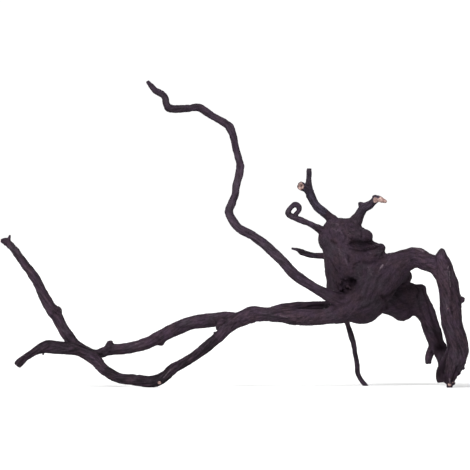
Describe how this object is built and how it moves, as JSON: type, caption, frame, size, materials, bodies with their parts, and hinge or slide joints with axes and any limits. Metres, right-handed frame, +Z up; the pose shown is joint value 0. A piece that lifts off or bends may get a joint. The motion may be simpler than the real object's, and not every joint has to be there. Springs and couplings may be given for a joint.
{
  "type": "piece of spiderwood",
  "caption": "Dark gnarled stump of spiderwood with long roots that fork, cross and curl; it stands on a splintered foot, a bent root and a thin twig.",
  "frame": {"origin": "middle of the bounding box, at the level of the surface that the piece stands on", "axes": "+Z up; +X to the right, from the crossing roots' tips towards the legs; -Y the front, the side with the pit and the eye-like hollow"},
  "size_m": [0.4682, 0.0997, 0.3061],
  "materials": {
    "stump": "matte",
    "main_root": "matte",
    "upper_arc": "matte",
    "lower_arc": "matte",
    "hooked_root": "matte",
    "antler_root": "matte",
    "whisker_root": "matte",
    "outer_leg": "matte",
    "inner_leg": "matte",
    "left_horn": "matte",
    "right_horn": "matte",
    "curled_tendril": "matte",
    "side_twig": "matte",
    "prop_twig": "matte"
  },
  "bodies": {
    "root": {"stump": "stump", "main_root": "main_root", "upper_arc": "upper_arc", "lower_arc": "lower_arc", "hooked_root": "hooked_root", "antler_root": "antler_root", "whisker_root": "whisker_root", "outer_leg": "outer_leg", "inner_leg": "inner_leg", "left_horn": "left_horn", "right_horn": "right_horn", "curled_tendril": "curled_tendril", "side_twig": "side_twig", "prop_twig": "prop_twig"}
  },
  "joints": []
}
